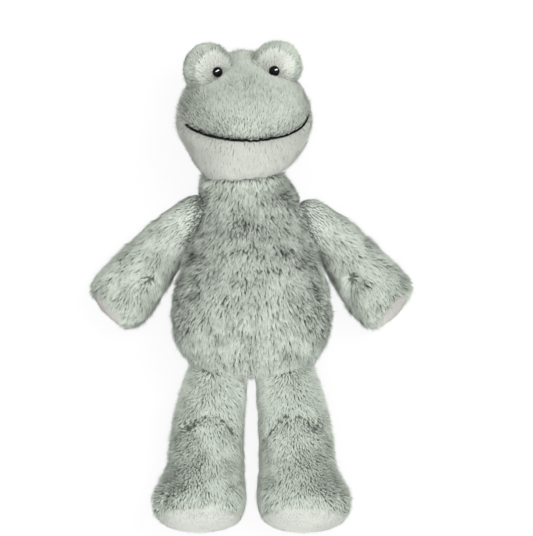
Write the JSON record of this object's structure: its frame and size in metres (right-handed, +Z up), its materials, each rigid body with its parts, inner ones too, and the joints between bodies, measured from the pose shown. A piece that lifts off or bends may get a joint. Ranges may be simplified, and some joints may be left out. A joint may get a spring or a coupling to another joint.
{
  "type": "plush frog",
  "caption": "Soft stuffed frog with raised eye domes and a wide stitched mouth; the head nods and turns and the sewn limbs swing at their seams.",
  "frame": {"origin": "on the surface that the toy lies on, under the middle of its length and span", "axes": "the toy lies on its back: +Z up out of the belly, +Y from the feet towards the head, +X towards the toy's own left arm"},
  "size_m": [0.216, 0.3308, 0.0843],
  "materials": {
    "long_pile": "matte",
    "sage_pile": "matte",
    "pale_pile": "matte",
    "pad_cloth": "matte",
    "fibre_filling": "matte",
    "eye_plastic": "gloss",
    "washer_plastic": "satin",
    "mouth_cord": "matte",
    "sewing_thread": "satin"
  },
  "bodies": {
    "torso": {"torso_skin": "long_pile", "torso_stuffing": "fibre_filling"},
    "neck_thread": {"neck_thread": "sewing_thread"},
    "head": {"head_crown": "sage_pile", "head_jaw": "pale_pile", "head_stuffing": "fibre_filling", "mouth_line": "mouth_cord", "eye_mound_left": "sage_pile", "eye_mound_right": "sage_pile", "eye_patch_left": "pale_pile", "eye_patch_right": "pale_pile", "eye_left": "eye_plastic", "eye_right": "eye_plastic", "eye_washer_left": "washer_plastic", "eye_washer_right": "washer_plastic"},
    "arm_left": {"arm_left": "long_pile", "paw_pad_left": "pad_cloth", "arm_stuffing_left": "fibre_filling"},
    "leg_left": {"leg_left": "long_pile", "sole_pad_left": "pale_pile", "leg_stuffing_left": "fibre_filling"},
    "arm_right": {"arm_right": "long_pile", "paw_pad_right": "pad_cloth", "arm_stuffing_right": "fibre_filling"},
    "leg_right": {"leg_right": "long_pile", "sole_pad_right": "pale_pile", "leg_stuffing_right": "fibre_filling"}
  },
  "joints": [
    {"name": "neck_turn", "type": "hinge", "parent": "torso", "child": "neck_thread", "pos_m": [-0.0055, 0.08595, 0.03218], "axis": [0, 1, 0], "range_deg": [-30, 30]},
    {"name": "neck_nod", "type": "hinge", "parent": "neck_thread", "child": "head", "pos_m": [-0.0055, 0.08595, 0.03218], "axis": [0.9825, 0.0401, -0.1821], "range_deg": [-20, 20]},
    {"name": "shoulder_left", "type": "hinge", "parent": "torso", "child": "arm_left", "pos_m": [0.03823, 0.03926, 0.0314], "axis": [0.3128, -0.9498, 0], "range_deg": [-45, 60]},
    {"name": "hip_left", "type": "hinge", "parent": "torso", "child": "leg_left", "pos_m": [0.0225, -0.05405, 0.0314], "axis": [-1, 0, 0], "range_deg": [-25, 75]},
    {"name": "shoulder_right", "type": "hinge", "parent": "torso", "child": "arm_right", "pos_m": [-0.03823, 0.03926, 0.0314], "axis": [0.3128, 0.9498, 0], "range_deg": [-45, 60]},
    {"name": "hip_right", "type": "hinge", "parent": "torso", "child": "leg_right", "pos_m": [-0.0225, -0.05405, 0.0314], "axis": [-1, 0, 0], "range_deg": [-25, 75]}
  ]
}
